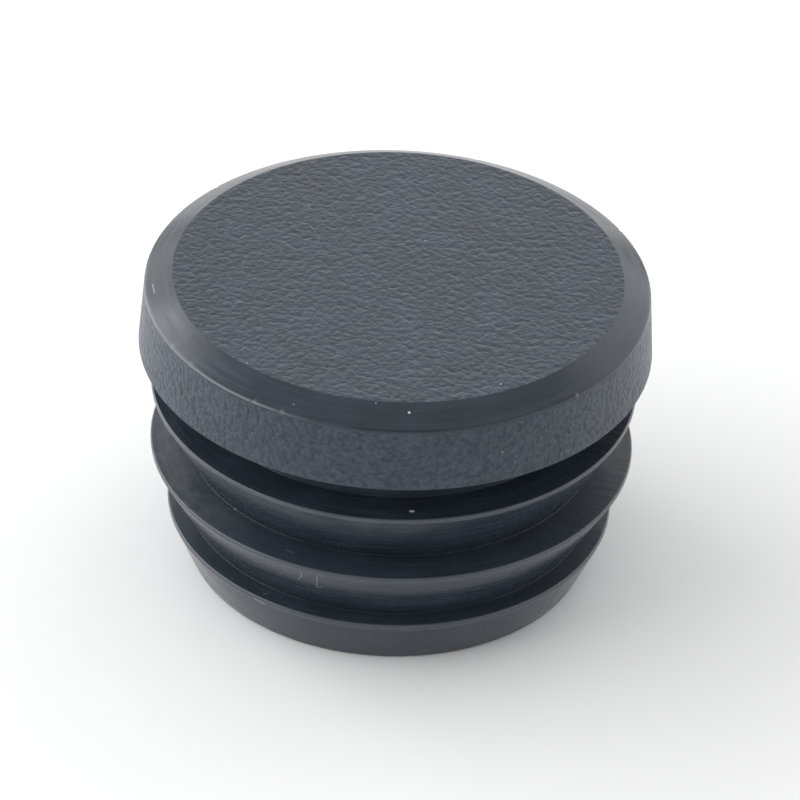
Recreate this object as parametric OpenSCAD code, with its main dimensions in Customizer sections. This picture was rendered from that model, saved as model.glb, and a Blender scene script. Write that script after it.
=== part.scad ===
// Tube end cap: a one-piece moulded plug that closes the end of a round tube.
// A flush chamfered head seats on the tube's end, sawtooth fins grip its bore,
// and a tapered lip below them leads the hollow plug in.
// The origin is on the axis, in the plane where the tube's end seats, with +Z out of the tube.

/* [Tube] */
// Outside diameter of the tube, which the head matches
tube_od = 30; // [24:0.5:60]
// Wall thickness of the tube
tube_wall = 1.5; // [1:0.1:2]

/* [Head] */
// Height of the head above the tube's end
head_h = 4.7; // [3:0.1:10]
// How far the head's side leans in between the shoulder and the chamfer
head_lean = 0.3; // [0:0.05:0.6]
// Width of the chamfer, measured across the axis
chamfer_w = 1.6; // [0.5:0.1:3]
// Height of the chamfer, measured along the axis
chamfer_h = 0.85; // [0.3:0.05:2]
// Radius along both edges of the chamfer
chamfer_edge_r = 0.1; // [0.05:0.05:0.4]
// Radius along the outer edge of the shoulder
shoulder_edge_r = 0.05; // [0.05:0.05:0.4]
// Thickness of the wall under the top face
head_wall = 2.5; // [1:0.1:4]

/* [Fins] */
// Number of fins
fin_count = 2; // [1:1:5]
// How far a fin stands past the tube's bore before it bends
fin_grip = 0.75; // [0.2:0.05:1.2]
// Distance from the shoulder to the flat top of the first fin
fin_start = 2.6; // [1:0.05:5]
// Distance from the top of one fin to the next, and from the last fin to the lip
fin_pitch = 4.15; // [2:0.05:8]
// Height of the straight land round the rim of a fin and of the lip
rim_land = 0.25; // [0.2:0.05:1]
// Radius along the edges of such a rim
rim_edge_r = 0.1; // [0.05:0.05:0.3]
// Radius in the root of a groove
root_r = 0.05; // [0.05:0.05:0.6]

/* [Lip] */
// Gap between the lip and the tube's bore
lip_gap = 0.3; // [0.1:0.05:1]
// Height of the lip
lip_h = 3.3; // [1.5:0.1:8]
// How far the lip leans in from its rim to the mouth
lip_lean = 1.3; // [0.3:0.1:1.6]

/* [Plug] */
// Gap between the root of the grooves and the tube's bore
core_gap = 1.45; // [0.8:0.05:2]
// Thickness of the plug's wall at the mouth, behind the root of the grooves
plug_wall = 1.9; // [1.2:0.1:3]
// Draft of the hollow in degrees, which lets the moulding leave its core
hollow_draft = 1; // [0:0.25:2]
// Radius in the corner at the closed end of the hollow
hollow_r = 1; // [0.2:0.1:2]
// Radius along the edges of the mouth
mouth_edge_r = 0.25; // [0.05:0.05:0.4]

/* [Gate] */
// Diameter of the injection gate's stub inside the hollow
gate_d = 2; // [1:0.1:4]
// Height of that stub
gate_h = 0.4; // [0.2:0.1:1]
// Radius along the stub's edge
gate_edge_r = 0.15; // [0.05:0.05:0.2]

/* [Hidden] */
$fn = 96;
// Largest turn of one step along an arc of the section
arc_step = 22.5;
// Share of a side that the arcs at its two ends may take up between them
arc_share = 0.9;
plastic = "#28323c";

// Radii, from the tube inwards
head_r = tube_od / 2;
side_r = head_r - head_lean;
top_r = side_r - chamfer_w;
bore_r = head_r - tube_wall;
fin_r = bore_r + fin_grip;
lip_r = bore_r - lip_gap;
tip_r = lip_r - lip_lean;
core_r = bore_r - core_gap;
mouth_r = core_r - plug_wall;

// Height of the flat top of fin i, counted down from the shoulder, with the lip as the last
function fin_z(i) = -fin_start - i * fin_pitch;

// Heights, from the shoulder at zero
lip_z = fin_z(fin_count);
mouth_z = lip_z - lip_h;
ceiling_z = head_h - head_wall;
ceiling_r = mouth_r - (ceiling_z - mouth_z) * tan(hollow_draft);

// A corner of the section: its distance from the axis, its height and the radius of its arc
function corner(r, z, arc_r = 0) = [[r, z], arc_r];

// The two corners of a rim: the end of its flat top and the foot of its land
function rim(r, z) = [
    corner(r, z, rim_edge_r),
    corner(r, z - rim_land, rim_edge_r)
];

// One sawtooth fin and the root that its conical underside runs down to
function fin(i) = [
    each rim(fin_r, fin_z(i)),
    corner(core_r, fin_z(i + 1), root_r)
];

// Half of the cap's section, down the outside from the top face and back up the hollow
section = [
    corner(0, head_h),
    corner(top_r, head_h, chamfer_edge_r),
    corner(side_r, head_h - chamfer_h, chamfer_edge_r),
    corner(head_r, 0, shoulder_edge_r),
    corner(core_r, 0, root_r),
    corner(core_r, fin_z(0), root_r),
    for (i = [0 : fin_count - 1]) each fin(i),
    each rim(lip_r, lip_z),
    corner(tip_r, mouth_z, mouth_edge_r),
    corner(mouth_r, mouth_z, mouth_edge_r),
    corner(ceiling_r, ceiling_z, hollow_r),
    corner(gate_d / 2, ceiling_z, gate_edge_r),
    corner(gate_d / 2, ceiling_z - gate_h, gate_edge_r),
    corner(0, ceiling_z - gate_h)
];

// The points of the arc that rounds corner b, between the corners a and c beside it
function rounded(a, b, c, arc_r) =
    let (
        to_a = (a - b) / norm(a - b),
        to_c = (c - b) / norm(c - b),
        half = acos(to_a * to_c) / 2,
        room = min(norm(a - b), norm(c - b)) * arc_share / 2,
        reach = min(arc_r / tan(half), room),
        radius = reach * tan(half),
        centre = b + (to_a + to_c) / norm(to_a + to_c) * radius / sin(half),
        from = b + to_a * reach - centre,
        turn = (180 - 2 * half) * sign(cross(b - a, c - b)),
        steps = ceil(abs(turn) / arc_step)
    )
    [for (i = [0 : steps])
        let (t = turn * i / steps)
        centre + [from.x * cos(t) - from.y * sin(t), from.x * sin(t) + from.y * cos(t)]
    ];

// The outline of the section, with its corners rounded
outline = [
    for (i = [0 : len(section) - 1])
        let (
            before = section[(i + len(section) - 1) % len(section)],
            at = section[i],
            after = section[(i + 1) % len(section)]
        )
        each at[1] > 0 ? rounded(before[0], at[0], after[0], at[1]) : [at[0]]
];

module end_cap() {
    color(plastic)
        rotate_extrude()
            polygon(outline);
}

end_cap();
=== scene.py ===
"""Moulded end cap for a round tube: the visible moulding over its CAD frame, and the studio it is seen in."""

import math

import bpy
from bpy.props import FloatProperty, FloatVectorProperty, IntProperty, PointerProperty
from mathutils import Matrix, Vector


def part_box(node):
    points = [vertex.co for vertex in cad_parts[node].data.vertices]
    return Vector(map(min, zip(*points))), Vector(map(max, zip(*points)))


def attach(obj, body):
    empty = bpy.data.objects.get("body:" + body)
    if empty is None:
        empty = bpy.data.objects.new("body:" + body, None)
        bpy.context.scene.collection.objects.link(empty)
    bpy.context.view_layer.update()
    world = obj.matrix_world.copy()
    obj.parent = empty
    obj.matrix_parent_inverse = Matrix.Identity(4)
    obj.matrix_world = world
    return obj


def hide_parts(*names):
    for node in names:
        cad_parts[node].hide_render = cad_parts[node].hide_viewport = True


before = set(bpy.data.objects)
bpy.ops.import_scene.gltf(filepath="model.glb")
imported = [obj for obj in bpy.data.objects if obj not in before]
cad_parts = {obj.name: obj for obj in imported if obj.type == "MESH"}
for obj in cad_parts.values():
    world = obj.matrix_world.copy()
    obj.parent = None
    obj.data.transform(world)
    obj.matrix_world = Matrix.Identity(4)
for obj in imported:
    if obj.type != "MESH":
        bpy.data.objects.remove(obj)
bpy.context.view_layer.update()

bl_info = {
    "name": "Tube End Cap",
    "version": (1, 0, 0),
    "blender": (4, 5, 0),
    "location": "View3D > Sidebar > Tube Cap",
    "description": "Builds a moulded end cap for a round tube and the studio it is seen in",
    "category": "Object",
}

MM = 0.001
NODE = "end_cap"
CAP_LOW, CAP_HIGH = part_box(NODE)
# Largest turn of one step along an arc of the section, in degrees
ARC_STEP = 22.5
# Share of a side that the arcs at its two ends may take up between them
ARC_SHARE = 0.9
# Less than any real size of the cap
HAIR = 0.001 * MM
# Sockets of a Mix node that mixes colours
MIX_A, MIX_B, MIX_RESULT = 6, 7, 2

# Specks of dust, as (face, degrees round from the front, mm from the axis, radius in mm, strength)
GRAIN_SPECKS = (
    ("top", 157, 3.8, 0.09, 0.4),
    ("top", 168, 5.4, 0.07, 0.2),
    ("top", 67, 6.4, 0.10, 0.2),
    ("top", 29, 12.4, 0.08, 0.6),
    ("top", -40, 12.9, 0.07, 0.5),
    ("side", 25, 14.85, 0.07, 0.4),
    ("side", -52, 14.95, 0.06, 0.4),
)
SMOOTH_SPECKS = (
    ("chamfer", 4, 13.65, 0.10, 1.0),
    ("chamfer", -23, 14.10, 0.06, 0.4),
    ("chamfer", -4, 13.20, 0.06, 0.5),
    ("first fin", 5.6, 13.40, 0.13, 1.0),
    ("first fin", 6, 13.40, 0.15, 1.0),
    ("first underside", -23, 13.10, 0.06, 0.3),
    ("first underside", -12.5, 12.40, 0.05, 0.3),
    ("first underside", 8, 14.00, 0.05, 0.3),
    ("second fin", -47, 12.10, 0.07, 0.5),
    ("second fin", -48.5, 12.35, 0.05, 0.3),
    ("second fin", -43.5, 12.80, 0.04, 0.3),
    ("second fin", -56, 12.50, 0.04, 0.3),
    ("second fin", -67, 12.35, 0.05, 0.3),
    ("second underside", -54.5, 12.55, 0.05, 0.3),
    ("lip", -43.5, 12.90, 0.05, 0.3),
)
# Scratches and hair-fine curls, as (face, radius of the line in mm, strength, points in degrees and mm)
GRAIN_SCRATCHES = (
    ("top", 0.05, 0.25, ((-141.5, 8.8), (-140.5, 8.5), (-139, 8.7))),
)
SMOOTH_SCRATCHES = (
    ("chamfer", 0.05, 0.5, ((-84, 14.23), (-80.5, 14.17))),
    ("second fin", 0.05, 0.18, ((-25.5, 13.25), (-24.5, 13.20), (-23.5, 13.25))),
    ("second fin", 0.04, 0.15, ((-80, 13.30), (-78, 13.40), (-78, 13.80))),
    ("second underside", 0.05, 0.25, ((-20, 14.05), (-20, 13.90), (-20.5, 13.70), (-21.5, 13.50))),
    ("second underside", 0.05, 0.25, ((-16, 14.05), (-16.5, 13.65), (-17, 13.25), (-15.5, 13.35))),
    ("lip", 0.05, 0.25, ((-33, 12.80), (-32.5, 12.60))),
    ("lip side", 0.06, 0.5, ((-34.5, 13.19), (-31.5, 13.15))),
)
# Nicks on the edge between chamfer and side, as (degrees round from the front, depth in mm)
NICKS = (
    (-60, 0.03),
    (-52, 0.02),
    (-32, 0.06),
    (-25, 0.05),
    (45, 0.03),
    (118, 0.05),
    (163, 0.04),
    (-131, 0.05),
)
# How far a nick's middle is whitened
NICK_PALENESS = 0.3


def linear(hex_colour):
    """An sRGB hex colour as the linear RGBA that Blender's sockets hold."""
    parts = [int(hex_colour[i:i + 2], 16) / 255 for i in (1, 3, 5)]
    return [c / 12.92 if c <= 0.04045 else ((c + 0.055) / 1.055) ** 2.4 for c in parts] + [1.0]


def length(name, description, default):
    """A size in metres that the panel shows as a length."""
    return FloatProperty(
        name=name, description=description, default=default, min=0, precision=6, unit="LENGTH")


def angle(name, description, degrees):
    """An angle that the panel shows in degrees."""
    return FloatProperty(
        name=name, description=description, default=math.radians(degrees), subtype="ANGLE")


def power(name, description, watts):
    """The power of a lamp."""
    return FloatProperty(name=name, description=description, default=watts, min=0, unit="POWER")


def share(name, description, default):
    """A number from 0 to 1."""
    return FloatProperty(name=name, description=description, default=default, min=0, max=1, subtype="FACTOR")


def optics(name, description, default):
    """A size in mm inside the camera."""
    return FloatProperty(name=name, description=description, default=default, min=1, unit="CAMERA")


def index(name, description, default):
    """A refractive index."""
    return FloatProperty(name=name, description=description, default=default, min=1)


def colour(name, description, hex_colour):
    """A colour that the panel shows as a swatch."""
    return FloatVectorProperty(
        name=name, description=description, default=linear(hex_colour), size=4, min=0, max=1, subtype="COLOR")


class CapSizes(bpy.types.PropertyGroup):
    """Sizes of the moulding, which follow the CAD section."""

    head_radius: length("Head radius", "Radius of the shoulder that seats on the tube", CAP_HIGH[0])
    head_height: length("Head height", "Height of the top face over the shoulder", CAP_HIGH[2])
    base_depth: length("Base depth", "Depth of the mouth below the shoulder", -CAP_LOW[2])
    tube_wall: length("Tube wall", "Thickness of the tube's wall", 1.5 * MM)
    side_lean: length("Side lean", "How far the head's side leans in up to the chamfer", 0.3 * MM)
    chamfer_width: length("Chamfer width", "Chamfer measured across the axis", 1.6 * MM)
    chamfer_height: length("Chamfer height", "Chamfer measured along the axis", 0.85 * MM)
    chamfer_edge: length("Chamfer edge", "Radius along the edges of the chamfer", 0.1 * MM)
    shoulder_edge: length("Shoulder edge", "Radius along the outer edge of the shoulder", 0.05 * MM)
    head_wall: length("Head wall", "Thickness of the wall under the top face", 2.5 * MM)
    fin_grip: length("Fin grip", "How far a fin stands past the tube's bore", 0.75 * MM)
    fin_start: length("Fin start", "Distance from the shoulder to the first fin", 2.6 * MM)
    fin_pitch: length("Fin pitch", "Distance from one fin to the next", 4.15 * MM)
    rim_land: length("Rim land", "Height of the straight land round a rim", 0.25 * MM)
    rim_edge: length("Rim edge", "Radius along the edges of a rim", 0.1 * MM)
    root_edge: length("Root edge", "Radius in the root of a groove", 0.02 * MM)
    lip_gap: length("Lip gap", "Gap between the lip and the tube's bore", 0.3 * MM)
    lip_lean: length("Lip lean", "How far the lip leans in down to the mouth", 1.3 * MM)
    core_gap: length("Core gap", "Gap between the root of the grooves and the tube's bore", 1.45 * MM)
    plug_wall: length("Plug wall", "Thickness of the plug's wall at the mouth", 1.9 * MM)
    hollow_draft: angle("Hollow draft", "Lean of the hollow's wall", 1.0)
    hollow_corner: length("Hollow corner", "Radius at the closed end of the hollow", 1.0 * MM)
    mouth_edge: length("Mouth edge", "Radius along the edges of the mouth", 0.25 * MM)
    gate_radius: length("Gate radius", "Radius of the gate stub in the hollow", 1.0 * MM)
    gate_height: length("Gate height", "Height of that stub", 0.4 * MM)
    gate_edge: length("Gate edge", "Radius along that stub's edge", 0.15 * MM)
    nick_radius: length("Nick radius", "How far a nick reaches along the edge", 0.15 * MM)
    nick_row: length("Nick row", "Width of the row of faces on the chamfer that holds the nicks", 0.25 * MM)
    swell: length("Grain swell", "Height of the slow swell under the grain", 0.012 * MM)
    swell_width: length("Swell width", "Size of one wave of that swell", 0.3 * MM)
    grain_rows: length("Grain rows", "Height of a row of faces on the head's side", 0.15 * MM)
    grain_margin: length("Grain margin", "How far the grain stops below the chamfer", 0.15 * MM)
    smooth_angle: angle("Smooth angle", "Edges that turn further than this stay sharp", 35.0)
    columns: IntProperty(
        name="Columns", description="Faces round the axis", default=640, min=64, max=640, step=4)

    @property
    def side_radius(self):
        return self.head_radius - self.side_lean

    @property
    def top_radius(self):
        return self.side_radius - self.chamfer_width

    @property
    def brow(self):
        """Height of the chamfer's lower edge."""
        return self.head_height - self.chamfer_height

    @property
    def bore_radius(self):
        return self.head_radius - self.tube_wall

    @property
    def fin_radius(self):
        return self.bore_radius + self.fin_grip

    @property
    def lip_radius(self):
        return self.bore_radius - self.lip_gap

    @property
    def tip_radius(self):
        return self.lip_radius - self.lip_lean

    @property
    def core_radius(self):
        return self.bore_radius - self.core_gap

    @property
    def mouth_radius(self):
        return self.core_radius - self.plug_wall

    @property
    def ceiling(self):
        """Height of the hollow's closed end."""
        return self.head_height - self.head_wall

    @property
    def ceiling_radius(self):
        return self.mouth_radius - (self.ceiling + self.base_depth) * math.tan(self.hollow_draft)

    @property
    def fin_levels(self):
        """Heights of the flat tops of the two fins and of the lip."""
        return [-self.fin_start - i * self.fin_pitch for i in range(3)]


class CapFinish(bpy.types.PropertyGroup):
    """Colours and surface of the moulding."""

    plastic: colour("Plastic", "Colour of the moulded polyethylene on its grained faces", "#26323f")
    polished: colour("Polished", "Colour of the same plastic on its smooth faces", "#29323b")
    # This pale colour also paints highlights along the rims and the chamfer's lower edge, and painted light
    # under and on the fins
    dust_and_sheen: colour("Dust", "Colour of dust specks and of whitened nicks", "#c4c9cd")
    # This dark colour paints a line of shade along the chamfer's lower edge at the front
    edge_shade: colour("Shade", "Colour of the dirt along the chamfer's lower edge", "#0a1624")
    top_pebble: length("Top pebble", "Width of one pebble of the grain on the top face", 0.41 * MM)
    side_pebble: length("Side pebble", "Width of one pebble on the head's side", 0.328 * MM)
    top_furrow: length("Top furrow", "Depth of the furrows between pebbles on the top face", 0.0403 * MM)
    side_furrow: length("Side furrow", "Depth of the furrows on the head's side", 0.0585 * MM)
    side_contrast: share("Side contrast", "How much duller those furrows are than the pebbles", 0.13)
    grain_roughness: share("Grain roughness", "Roughness of the grained faces", 0.36)
    mould_roughness: share("Mould roughness", "Roughness of the smooth faces", 0.24)
    grain_ior: index("Grain IOR", "Refractive index of the grained faces", 1.5)
    mould_ior: index("Mould IOR", "Refractive index of the smooth faces", 1.46)


class CapStage(bpy.types.PropertyGroup):
    """Camera, table and lamps."""

    table: colour("Table", "Colour of the table", "#f4f4f4")
    table_radius: length("Table radius", "Radius of the round table", 3.0)
    sky: FloatProperty(name="Sky", description="Strength of the even white light", default=0.64, min=0)
    key: power("Key", "Power of the high lamp at the left", 9.2)
    left: power("Left", "Power of the low lamp at the left", 5.2)
    right: power("Right", "Power of the low lamp at the right", 6.0)
    back_left: power("Back left", "Power of the high lamp behind at the left", 1.6)
    back_right: power("Back right", "Power of the high lamp behind at the right", 1.6)
    back: power("Back", "Power of the low lamp behind", 1.4)
    elevation: angle("Elevation", "How far the camera looks down", 34.92)
    roll: angle("Roll", "Turn of the camera about its own axis", 2.55)
    distance: length("Distance", "From the camera to the cap", 292.04 * MM)
    aim_right: length("Aim right", "How far right of the origin the camera aims", 0.257 * MM)
    aim_down: length("Aim down", "How far below the origin the camera aims", 3.521 * MM)
    lens: optics("Lens", "Focal length", 225.0)
    sensor: optics("Sensor", "Width of the sensor", 36.0)


def round_axis(degrees, radius, height):
    """The point that stands that far round from the front of the cap, all lengths alike."""
    turn = math.radians(degrees)
    return Vector((radius * math.sin(turn), -radius * math.cos(turn), height))


def rounded(before, at, after, radius):
    """The points of the arc that rounds one corner of the section."""
    before, at, after = Vector(before), Vector(at), Vector(after)
    to_before, to_after = (before - at).normalized(), (after - at).normalized()
    half = to_before.angle(to_after) / 2
    room = ARC_SHARE / 2 * min((before - at).length, (after - at).length)
    reach = min(radius / math.tan(half), room)
    centre = at + (to_before + to_after).normalized() * reach / math.cos(half)
    start = at + to_before * reach - centre
    side = (at - before).cross(after - at)
    turn = math.copysign(math.pi - 2 * half, side)
    steps = math.ceil(abs(math.degrees(turn)) / ARC_STEP)
    return [tuple(centre + Matrix.Rotation(turn * i / steps, 2) @ start) for i in range(steps + 1)]


def cap_section(sizes):
    """The half section as (distance from the axis, height), down the outside and back up the hollow."""
    # A row just over the chamfer's lower edge keeps that edge's nicks short
    slope = Vector((-sizes.chamfer_width, sizes.chamfer_height)).normalized()
    nick_end = Vector((sizes.side_radius, sizes.brow)) + sizes.nick_row * slope
    corners = [
        (0, sizes.head_height, 0),
        (sizes.top_radius, sizes.head_height, sizes.chamfer_edge),
        (*nick_end, 0),
        (sizes.side_radius, sizes.brow, sizes.chamfer_edge),
        (sizes.head_radius, 0, sizes.shoulder_edge),
        (sizes.core_radius, 0, sizes.root_edge),
        (sizes.core_radius, sizes.fin_levels[0], sizes.root_edge),
    ]
    first, second, lip = sizes.fin_levels
    for here, below in ((first, second), (second, lip)):
        corners += [
            (sizes.fin_radius, here, sizes.rim_edge),
            (sizes.fin_radius, here - sizes.rim_land, sizes.rim_edge),
            (sizes.core_radius, below, sizes.root_edge),
        ]
    gate_end = sizes.ceiling - sizes.gate_height
    corners += [
        (sizes.lip_radius, lip, sizes.rim_edge),
        (sizes.lip_radius, lip - sizes.rim_land, sizes.rim_edge),
        (sizes.tip_radius, -sizes.base_depth, sizes.mouth_edge),
        (sizes.mouth_radius, -sizes.base_depth, sizes.mouth_edge),
        (sizes.ceiling_radius, sizes.ceiling, sizes.hollow_corner),
        (sizes.gate_radius, sizes.ceiling, sizes.gate_edge),
        (sizes.gate_radius, gate_end, sizes.gate_edge),
        (0, gate_end, 0),
    ]
    section = []
    for before, at, after in zip(corners, corners[1:], corners[2:]):
        section += rounded(before[:2], at[:2], after[:2], at[2]) if at[2] else [at[:2]]
    return section


def with_rows(section, inside, gap):
    """Adds rows to the runs of the section that lie further out than a radius, for the grain to move."""
    rows = section[:1]
    for here, after in zip(section, section[1:]):
        start, end = Vector(here), Vector(after)
        count = max(1, round((end - start).length / gap)) if min(here[0], after[0]) > inside else 1
        rows += [tuple(start.lerp(end, (i + 1) / count)) for i in range(count)]
    return rows


def mark_faces(sizes):
    """The straight stretches of the section that carry marks, each from its inner to its outer end."""
    first, second, lip = sizes.fin_levels
    faces = {
        "top": ((0, sizes.head_height), (sizes.top_radius, sizes.head_height)),
        "chamfer": ((sizes.top_radius, sizes.head_height), (sizes.side_radius, sizes.brow)),
        "side": ((sizes.side_radius, sizes.brow), (sizes.head_radius, 0)),
        "lip": ((sizes.core_radius, lip), (sizes.lip_radius, lip)),
        "lip side": ((sizes.tip_radius, -sizes.base_depth), (sizes.lip_radius, lip - sizes.rim_land)),
    }
    for name, here, below in (("first", first, second), ("second", second, lip)):
        faces[name + " fin"] = ((sizes.core_radius, here), (sizes.fin_radius, here))
        faces[name + " underside"] = ((sizes.core_radius, below), (sizes.fin_radius, here - sizes.rim_land))
    return faces


def on_face(sizes, face, degrees, out):
    """The point in mm on a named face, that far round from the front and that far from the axis."""
    (inner, low), (outer, high) = mark_faces(sizes)[face]
    way = (out * MM - inner) / (outer - inner)
    return round_axis(degrees, out, (low + way * (high - low)) / MM)


def along(points, gap=0.07):
    """Points close together along a run of points in mm, for a fine line."""
    line = []
    for start, end in zip(points, points[1:]):
        count = max(1, round((end - start).length / gap))
        line += [start.lerp(end, i / count) for i in range(count)]
    return line + points[-1:]


def node(tree, kind, inputs=None, output=0, **settings):
    """Adds a shader node, sets it, fills each of its inputs with a value or a link, and gives one output."""
    made = tree.nodes.new("ShaderNode" + kind)
    for name, value in settings.items():
        setattr(made, name, value)
    for key, value in (inputs or {}).items():
        if isinstance(value, bpy.types.NodeSocket):
            tree.links.new(value, made.inputs[key])
        else:
            made.inputs[key].default_value = value
    return made.outputs[output]


def new_material(name):
    """An empty node material with its Principled shader."""
    material = bpy.data.materials.new(name)
    material.use_nodes = True
    return material, material.node_tree, material.node_tree.nodes["Principled BSDF"]


def millimetres(tree):
    """Object coordinates counted in mm, so that a pattern's scale is one over its size."""
    place = node(tree, "TexCoord", output="Object")
    return node(tree, "VectorMath", {0: place, "Scale": 1 / MM}, operation="SCALE")


def round_coordinates(tree, place):
    """The direction from the axis, the distance from it and the height, of a place in mm."""
    height = node(tree, "SeparateXYZ", {0: place}, "Z")
    flat = node(tree, "VectorMath", {0: place, 1: (1, 1, 0)}, operation="MULTIPLY")
    out = node(tree, "VectorMath", {0: flat}, "Value", operation="LENGTH")
    heading = node(tree, "VectorMath", {0: flat}, operation="NORMALIZE")
    return heading, out, height


def facing(tree, heading, degrees, reach, fade, low=0.0, high=1.0):
    """High within reach of a direction round from the front, falling to low over the fade, in degrees."""
    ahead = round_axis(degrees, 1, 0)
    toward = node(tree, "VectorMath", {0: heading, 1: ahead}, "Value", operation="DOT_PRODUCT")
    near, far = math.cos(math.radians(reach)), math.cos(math.radians(reach + fade))
    span = {"From Min": far, "From Max": near, "To Min": low, "To Max": high}
    return node(tree, "MapRange", {"Value": toward, **span})


def streaks(tree, heading, out, height, across, along_section):
    """Noise drawn out round the axis or along the section, as far as its two scales differ."""
    turned = node(tree, "VectorMath", {0: heading, "Scale": across}, operation="SCALE")
    lift = node(tree, "Math", {0: out, 1: along_section}, operation="MULTIPLY")
    lift = node(tree, "CombineXYZ", {2: lift})
    spot = node(tree, "VectorMath", {0: turned, 1: lift}, operation="ADD")
    depth = node(tree, "Math", {0: height, 1: along_section}, operation="MULTIPLY")
    spread = {"Vector": spot, "W": depth, "Scale": 1.0, "Detail": 1.0}
    return node(tree, "TexNoise", spread, noise_dimensions="4D")


def marks_mask(tree, place, sizes, specks, scratches):
    """Nicks, specks and scratches as one socket from 0 to 1."""
    marks = [(on_face(sizes, face, turn, out), size, strength) for face, turn, out, size, strength in specks]
    for face, size, strength, run in scratches:
        points = [on_face(sizes, face, *point) for point in run]
        marks += [(point, size, strength) for point in along(points)]
    # A mark is even in its middle and fades from there to its rim
    middle = 0.35
    mask = node(tree, "Attribute", output="Fac", attribute_name="nick")
    for point, size, strength in marks:
        away = node(tree, "VectorMath", {0: place, 1: point}, "Value", operation="DISTANCE")
        span = {"From Min": size, "From Max": middle * size, "To Max": strength}
        spot = node(tree, "MapRange", {"Value": away, **span})
        mask = node(tree, "Math", {0: mask, 1: spot}, operation="MAXIMUM")
    return mask


def plastic_colour(tree, plastic, dust_and_sheen, place, wear, mask):
    """The plastic's colour with a faint cloudiness, a little of the wear, and pale marks over it: dust, nicks
    and painted highlights.
    """
    cloud = node(tree, "TexNoise", {"Vector": place, "Scale": 1 / 3.0, "Detail": 3.0, "Roughness": 0.5})
    shade = node(tree, "Math", {0: cloud, 1: wear}, operation="ADD")
    shade = node(tree, "MapRange", {"Value": shade, "From Min": 0.7, "From Max": 1.3})
    dark, pale = ([level * part for part in plastic[:3]] + [1] for level in (0.8, 1.2))
    tone = node(tree, "Mix", {"Factor": shade, MIX_A: dark, MIX_B: pale}, MIX_RESULT, data_type="RGBA")
    return node(tree, "Mix", {"Factor": mask, MIX_A: tone, MIX_B: list(dust_and_sheen)}, MIX_RESULT, data_type="RGBA")


def grained_polyethylene(sizes, finish):
    """Polyethylene moulded against a leather-grained tool: soft pebbles with a low broken sheen."""
    material, tree, shader = new_material("grained_polyethylene")
    place = millimetres(tree)
    pebble = finish.top_pebble / MM
    # The side is etched finer and deeper than the top face, with duller furrows
    height = node(tree, "SeparateXYZ", {0: place}, "Z")
    on_top = node(tree, "Math", {0: height, 1: sizes.brow / MM}, operation="GREATER_THAN")
    finer, depth, contrast = (
        node(tree, "MapRange", {"Value": on_top, "To Min": side, "To Max": top})
        for side, top in (
            (finish.top_pebble / finish.side_pebble, 1.0),
            (finish.side_furrow, finish.top_furrow),
            (finish.side_contrast, 0.0),
        )
    )
    grain = node(tree, "VectorMath", {0: place, "Scale": finer}, operation="SCALE")
    # Each pebble falls away from its middle, and a slow warp pulls it out of round
    warp = node(tree, "TexNoise", {"Vector": grain, "Scale": 0.8 / pebble, "Detail": 2.0}, "Color")
    push = node(tree, "VectorMath", {0: warp, 1: (0.5, 0.5, 0.5)}, operation="SUBTRACT")
    push = node(tree, "VectorMath", {0: push, "Scale": 1.3 * pebble}, operation="SCALE")
    bent = node(tree, "VectorMath", {0: grain, 1: push}, operation="ADD")
    cells = node(tree, "TexVoronoi", {"Vector": bent, "Scale": 1 / pebble}, "Distance", feature="F1")
    fall = node(tree, "Math", {0: cells, 1: 2.0}, operation="POWER")
    # A finer crease runs across the pebbles, so that no two are alike
    fine = {"Scale": 1.15 / pebble, "Detail": 1.0, "Distortion": 0.4}
    crease = node(tree, "TexNoise", {"Vector": grain, **fine})
    rise = node(tree, "Math", {0: crease, 1: 0.9}, operation="MULTIPLY")
    relief = node(tree, "Math", {0: rise, 1: fall}, operation="SUBTRACT")
    # A furrow mirrors the pebbles beside it instead of the room, so it is duller than they are
    furrow_to_pebble = {"From Min": -0.15, "From Max": 0.45, "To Min": -1.0, "To Max": 1.0}
    bright = node(tree, "MapRange", {"Value": relief, **furrow_to_pebble})
    gloss = node(tree, "Math", {0: bright, 1: contrast, 2: 0.5}, operation="MULTIPLY_ADD")
    low, high = finish.grain_roughness - 0.06, finish.grain_roughness + 0.06
    sheen = node(tree, "MapRange", {"Value": crease, "To Min": low, "To Max": high})
    bump = node(tree, "Bump", {"Height": relief, "Strength": 1.0, "Distance": depth})
    mask = marks_mask(tree, place, sizes, GRAIN_SPECKS, GRAIN_SCRATCHES)
    tone = plastic_colour(tree, finish.plastic, finish.dust_and_sheen, place, crease, mask)
    tree.links.new(tone, shader.inputs["Base Color"])
    tree.links.new(sheen, shader.inputs["Roughness"])
    tree.links.new(bump, shader.inputs["Normal"])
    tree.links.new(gloss, shader.inputs["Specular IOR Level"])
    shader.inputs["IOR"].default_value = finish.grain_ior
    return material


def rim_highlights(tree, sizes, out, height, mask):
    """Adds to the mask a painted highlight along the rims of the fins and of the lip."""
    first, _, lip = sizes.fin_levels
    margin, full, paleness = 0.1, 0.04, 0.05
    for rim, level in ((sizes.fin_radius / MM, first / MM), (sizes.lip_radius / MM, lip / MM)):
        rim_light_span = {"From Min": rim - margin, "From Max": rim - full, "To Max": paleness}
        rim_light = node(tree, "MapRange", {"Value": out, **rim_light_span})
        below = node(tree, "Math", {0: height, 1: level + margin}, operation="LESS_THAN")
        rim_light = node(tree, "Math", {0: rim_light, 1: below}, operation="MULTIPLY")
        mask = node(tree, "Math", {0: mask, 1: rim_light}, operation="MAXIMUM")
    return mask


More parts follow.
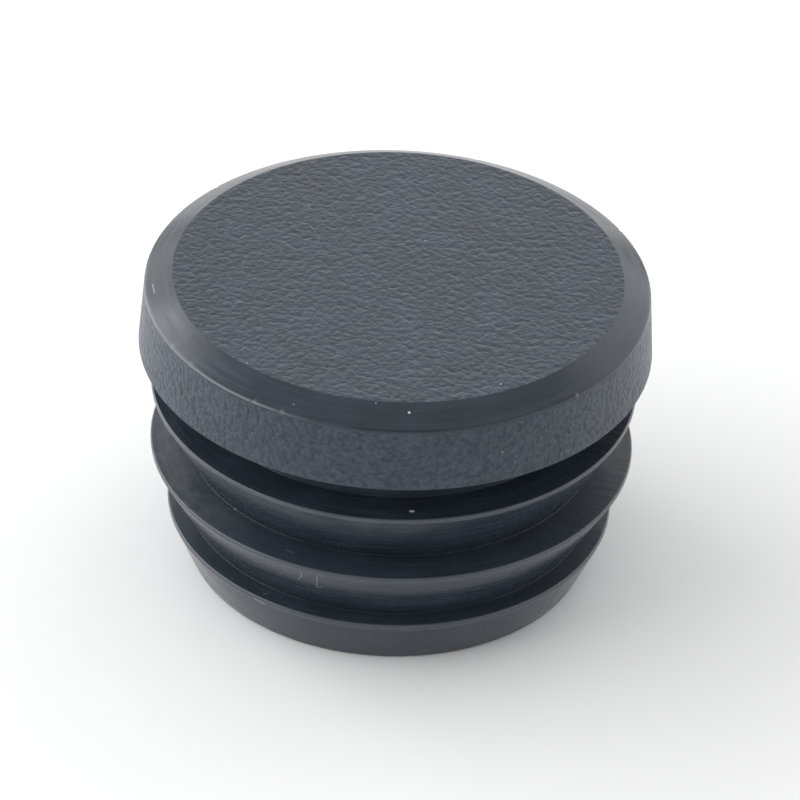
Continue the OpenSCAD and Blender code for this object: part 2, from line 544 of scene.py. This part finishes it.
def haze_and_painted_light(tree, sizes, place, heading, out, height, mask):
    """Adds to the mask a pale haze under the first fin, partly dust and partly painted light, and painted
    light on the second fin's top at the left.
    """
    first, second, _ = (level / MM for level in sizes.fin_levels)
    core = sizes.core_radius / MM
    fade_in = 0.8
    # Each as (lowest and highest place, inner edge, turn with reach and fade, patch size, thinnest, thickest)
    for lowest, highest, inner, way, patch, thin, thick in (
        # Under the first fin: partly a haze of dust, partly painted light that lifts the underside
        (second + 0.1, first - 0.1, core + 0.95, (-30, 30, 20), 2.0, 0.03, 0.07),
        # On the second fin's top at the left: painted light
        (second - 0.05, second + 0.05, core, (-80, 25, 25), 0.8, 0.01, 0.06),
    ):
        cloud = node(tree, "TexNoise", {"Vector": place, "Scale": 1 / patch, "Detail": 2.0})
        thin_to_thick = {"From Min": 0.3, "From Max": 0.6, "To Min": thin, "To Max": thick}
        haze_and_light = node(tree, "MapRange", {"Value": cloud, **thin_to_thick})
        for limit in (
            node(tree, "MapRange", {"Value": out, "From Min": inner, "From Max": inner + fade_in}),
            node(tree, "Math", {0: height, 1: highest}, operation="LESS_THAN"),
            node(tree, "Math", {0: height, 1: lowest}, operation="GREATER_THAN"),
            facing(tree, heading, *way),
        ):
            haze_and_light = node(tree, "Math", {0: haze_and_light, 1: limit}, operation="MULTIPLY")
        mask = node(tree, "Math", {0: mask, 1: haze_and_light}, operation="MAXIMUM")
    return mask


def smooth_polyethylene(sizes, finish):
    """Polyethylene moulded against turned steel: a soft gloss with faint turning lines and drag lines."""
    material, tree, shader = new_material("smooth_polyethylene")
    place = millimetres(tree)
    heading, out, height = round_coordinates(tree, place)
    # Turning lines some 0.3 mm apart, each a few mm long
    lines = streaks(tree, heading, out, height, across=3.0, along_section=1 / 0.3)
    # Drag lines 0.2 mm apart across the fins, from the tool: plain at the right, faint elsewhere
    drag = streaks(tree, heading, out, height, across=70.0, along_section=0.35)
    below = node(tree, "Math", {0: height, 1: 0.0}, operation="LESS_THAN")
    side = facing(tree, heading, 65, reach=11.5, fade=14.5, low=0.1, high=0.9)
    side = node(tree, "Math", {0: side, 1: below}, operation="MULTIPLY")
    wear = node(tree, "Mix", {"Factor": side, "A": lines, "B": drag})
    low, high = finish.mould_roughness - 0.08, finish.mould_roughness + 0.08
    span = {"From Min": 0.3, "From Max": 0.7, "To Min": low, "To Max": high}
    sheen = node(tree, "MapRange", {"Value": wear, **span})
    dragged = node(tree, "Math", {0: drag, 1: side}, operation="MULTIPLY")
    bump = node(tree, "Bump", {"Height": dragged, "Strength": 1.0, "Distance": 0.003 * MM})
    mask = marks_mask(tree, place, sizes, SMOOTH_SPECKS, SMOOTH_SCRATCHES)
    mask = rim_highlights(tree, sizes, out, height, mask)
    mask = haze_and_painted_light(tree, sizes, place, heading, out, height, mask)
    # The chamfer's lower edge gets a painted highlight at the left and a painted line of shade at the front
    brow = sizes.brow / MM
    over, under = 0.06, 0.1
    edge = node(tree, "MapRange", {"Value": height, "From Min": brow + over, "From Max": brow})
    above = node(tree, "Math", {0: height, 1: brow - under}, operation="GREATER_THAN")
    edge = node(tree, "Math", {0: edge, 1: above}, operation="MULTIPLY")
    at_left = facing(tree, heading, -55, reach=24, fade=14, high=0.15)
    # Painted highlight along the edge at the left
    edge_highlight = node(tree, "Math", {0: edge, 1: at_left}, operation="MULTIPLY")
    mask = node(tree, "Math", {0: mask, 1: edge_highlight}, operation="MAXIMUM")
    # Painted shade: a dark line along the edge at the front
    at_front = facing(tree, heading, 2, reach=8, fade=6, high=0.8)
    painted_shade = node(tree, "Math", {0: edge, 1: at_front}, operation="MULTIPLY")
    tone = plastic_colour(tree, finish.polished, finish.dust_and_sheen, place, wear, mask)
    shade_mix = {"Factor": painted_shade, MIX_A: tone, MIX_B: list(finish.edge_shade)}
    tone = node(tree, "Mix", shade_mix, MIX_RESULT, data_type="RGBA")
    tree.links.new(tone, shader.inputs["Base Color"])
    tree.links.new(sheen, shader.inputs["Roughness"])
    tree.links.new(bump, shader.inputs["Normal"])
    shader.inputs["IOR"].default_value = finish.mould_ior
    return material


def white_laminate(stage):
    """Matt white laminate: an even white that keeps the cap's soft shadow, mottled too faintly to see."""
    material, tree, shader = new_material("white_laminate")
    place = millimetres(tree)
    mottle = node(tree, "TexNoise", {"Vector": place, "Scale": 1 / 6.0, "Detail": 2.0})
    sheen = node(tree, "MapRange", {"Value": mottle, "To Min": 0.6, "To Max": 0.7})
    tree.links.new(sheen, shader.inputs["Roughness"])
    shader.inputs["Base Color"].default_value = stage.table
    return material


def displace(cap, group, strength, mid_level, texture=None):
    """Moves a vertex group along its normals with a modifier, and applies it."""
    shift = cap.modifiers.new("Displace", "DISPLACE")
    shift.vertex_group = group
    shift.strength = strength
    shift.mid_level = mid_level
    if texture:
        shift.texture = texture
        shift.texture_coords = "LOCAL"
    bpy.ops.object.modifier_apply(modifier=shift.name)


class MESH_OT_cap_moulding(bpy.types.Operator):
    """Models the one-piece cap: head, fins, lip and hollow"""

    bl_idname = "mesh.cap_moulding"
    bl_label = "Cap Moulding"

    def execute(self, context):
        sizes, finish = context.scene.cap_sizes, context.scene.cap_finish
        cap = self.turned_shell(context, sizes)
        self.swell_and_nicks(cap, sizes)
        self.finish_faces(cap, sizes, finish)
        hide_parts(NODE)
        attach(cap, "root")
        return {"FINISHED"}

    def turned_shell(self, context, sizes):
        """Extrudes the rim of the top face ring by ring down the outside and up into the hollow."""
        # Only the head's side lies this far out
        inside = sizes.head_radius - 0.5 * MM
        section = with_rows(cap_section(sizes), inside, sizes.grain_rows)
        radius, height = section[0]
        bpy.ops.object.select_all(action="DESELECT")
        bpy.ops.mesh.primitive_circle_add(vertices=sizes.columns, radius=radius, location=(0, 0, height))
        cap = context.object
        cap.name = cap.data.name = "cap_moulding"
        bpy.ops.object.transform_apply(location=True)
        bpy.ops.object.mode_set(mode="EDIT")
        for (radius, height), (wide, high) in zip(section, section[1:]):
            grow = wide / radius
            bpy.ops.mesh.extrude_region_move(TRANSFORM_OT_translate={"value": (0, 0, high - height)})
            bpy.ops.transform.resize(value=(grow, grow, 1), center_override=(0, 0, high))
        bpy.ops.mesh.extrude_region_move(TRANSFORM_OT_translate={"value": (0, 0, 0)})
        bpy.ops.mesh.merge(type="CENTER")
        # The top face is filled with a grid, fine enough to carry the swell of the grain
        bpy.ops.mesh.select_all(action="DESELECT")
        bpy.ops.mesh.select_non_manifold()
        bpy.ops.mesh.fill_grid(span=sizes.columns // 4)
        bpy.ops.mesh.select_all(action="SELECT")
        bpy.ops.mesh.remove_doubles(threshold=HAIR)
        bpy.ops.mesh.normals_make_consistent(inside=False)
        bpy.ops.object.mode_set(mode="OBJECT")
        bpy.ops.object.shade_smooth_by_angle(angle=sizes.smooth_angle)
        return cap

    def swell_and_nicks(self, cap, sizes):
        """Raises the slow swell of the grain and dents the edge of the chamfer."""
        deepest = max(depth for turn, depth in NICKS)
        grain = cap.vertex_groups.new(name="grain")
        nicks = cap.vertex_groups.new(name="nicks")
        whitened = []
        points = [(round_axis(turn, sizes.side_radius, sizes.brow), depth) for turn, depth in NICKS]
        for vertex in cap.data.vertices:
            place = vertex.co
            on_top = place.z > sizes.head_height - HAIR
            outside = place.xy.length > sizes.side_radius - 0.02 * MM
            on_side = outside and sizes.shoulder_edge < place.z < sizes.brow
            if on_top or on_side:
                grain.add([vertex.index], 1.0, "REPLACE")
            reach = [(1 - (place - point).length / sizes.nick_radius, depth) for point, depth in points]
            near, depth = max(reach)
            if near > 0:
                nicks.add([vertex.index], near * depth / deepest, "REPLACE")
            whitened.append(max(0.0, NICK_PALENESS * near))
        swell = bpy.data.textures.new("grain_swell", "CLOUDS")
        swell.noise_scale = sizes.swell_width
        swell.noise_depth = 1
        displace(cap, "grain", 2 * sizes.swell, 0.5, swell)
        displace(cap, "nicks", -deepest * MM, 0.0)
        cap.vertex_groups.clear()
        cap.data.attributes.new("nick", "FLOAT", "POINT").data.foreach_set("value", whitened)

    def finish_faces(self, cap, sizes, finish):
        """Gives the grained and the smooth faces their materials, and keeps flats flat beside round edges."""
        cap.data.materials.append(grained_polyethylene(sizes, finish))
        cap.data.materials.append(smooth_polyethylene(sizes, finish))
        grain_end = sizes.brow - sizes.grain_margin
        for face in cap.data.polygons:
            place = face.center
            out = place.xy.length
            on_top = out < sizes.top_radius and place.z > sizes.head_height - 2 * sizes.swell
            outside = out > sizes.side_radius - 0.05 * MM
            on_side = outside and sizes.shoulder_edge < place.z < grain_end
            face.material_index = 0 if on_top or on_side else 1
        weigh = cap.modifiers.new("Weighted normals", "WEIGHTED_NORMAL")
        weigh.keep_sharp = True
        weigh.weight = 90
        bpy.ops.object.modifier_apply(modifier=weigh.name)


class SCENE_OT_cap_stage(bpy.types.Operator):
    """Sets up the white table, the lamps and the camera"""

    bl_idname = "scene.cap_stage"
    bl_label = "Cap Stage"

    def execute(self, context):
        stage = context.scene.cap_stage
        scene = context.scene
        scene.view_settings.view_transform = "Standard"
        self.table(context, stage)
        world = bpy.data.worlds.new("white_room")
        world.use_nodes = True
        light = world.node_tree.nodes["Background"]
        light.inputs["Color"].default_value = (1, 1, 1, 1)
        light.inputs["Strength"].default_value = stage.sky
        scene.world = world
        # Each lamp as (name, degrees round from the front, degrees up, width and height in m, power)
        for name, turn, rise, size, watts in (
            ("key_lamp", -95, 30, (1.6, 0.6), stage.key),
            ("left_lamp", -100, 9, (2.4, 0.3), stage.left),
            ("right_lamp", 100, 9, (2.4, 0.3), stage.right),
            ("back_left_lamp", -140, 30, (0.7, 0.7), stage.back_left),
            ("back_right_lamp", 140, 30, (0.7, 0.7), stage.back_right),
            ("back_lamp", 180, 12, (0.7, 0.7), stage.back),
        ):
            self.soft_lamp(context, name, turn, rise, size, watts)
        self.camera(context, stage)
        return {"FINISHED"}

    def table(self, context, stage):
        """A wide round table top at the height of the mouth's rim."""
        bpy.ops.object.select_all(action="DESELECT")
        bpy.ops.mesh.primitive_circle_add(
            vertices=96, radius=stage.table_radius, fill_type="NGON", location=(0, 0, CAP_LOW[2]))
        table = context.object
        table.name = "table"
        table.data.materials.append(white_laminate(stage))

    def soft_lamp(self, context, name, turn, rise, size, watts):
        """A softbox a metre away that looks at the cap."""
        rise = math.radians(rise)
        out = round_axis(turn, math.cos(rise), math.sin(rise))
        bpy.ops.object.light_add(type="AREA", location=out, rotation=out.to_track_quat("Z", "Y").to_euler())
        lamp = context.object
        lamp.name = lamp.data.name = name
        lamp.data.shape = "RECTANGLE"
        lamp.data.size, lamp.data.size_y = size
        lamp.data.energy = watts
        lamp.visible_camera = False

    def camera(self, context, stage):
        """The photograph's view: from the front, well above, and slightly rolled."""
        back = Vector((0, -math.cos(stage.elevation), math.sin(stage.elevation)))
        level = Vector((1, 0, 0))
        rise = back.cross(level)
        right = math.cos(stage.roll) * level + math.sin(stage.roll) * rise
        up = back.cross(right)
        bpy.ops.object.camera_add()
        camera = context.object
        camera.name = camera.data.name = "camera"
        pose = Matrix((right, up, back)).transposed().to_4x4()
        pose.translation = stage.aim_right * right - stage.aim_down * up + stage.distance * back
        camera.matrix_world = pose
        camera.data.sensor_width = stage.sensor
        camera.data.lens = stage.lens
        camera.data.clip_start = 0.01
        camera.data.clip_end = 20
        context.scene.camera = camera


class VIEW3D_PT_tube_cap(bpy.types.Panel):
    """Sizes and finish of the cap, and the buttons that build it"""

    bl_label = "Tube End Cap"
    bl_space_type = "VIEW_3D"
    bl_region_type = "UI"
    bl_category = "Tube Cap"

    def draw(self, context):
        for group, operator in (
            (context.scene.cap_sizes, None),
            (context.scene.cap_finish, MESH_OT_cap_moulding),
            (context.scene.cap_stage, SCENE_OT_cap_stage),
        ):
            box = self.layout.box()
            for name in group.__annotations__:
                box.prop(group, name)
            if operator:
                box.operator(operator.bl_idname)


CLASSES = (CapSizes, CapFinish, CapStage, MESH_OT_cap_moulding, SCENE_OT_cap_stage, VIEW3D_PT_tube_cap)


def register():
    for made in CLASSES:
        bpy.utils.register_class(made)
    bpy.types.Scene.cap_sizes = PointerProperty(type=CapSizes)
    bpy.types.Scene.cap_finish = PointerProperty(type=CapFinish)
    bpy.types.Scene.cap_stage = PointerProperty(type=CapStage)


def unregister():
    del bpy.types.Scene.cap_stage, bpy.types.Scene.cap_finish, bpy.types.Scene.cap_sizes
    for made in reversed(CLASSES):
        bpy.utils.unregister_class(made)


def main():
    register()
    bpy.ops.mesh.cap_moulding()
    bpy.ops.scene.cap_stage()


if __name__ == "__main__":
    main()
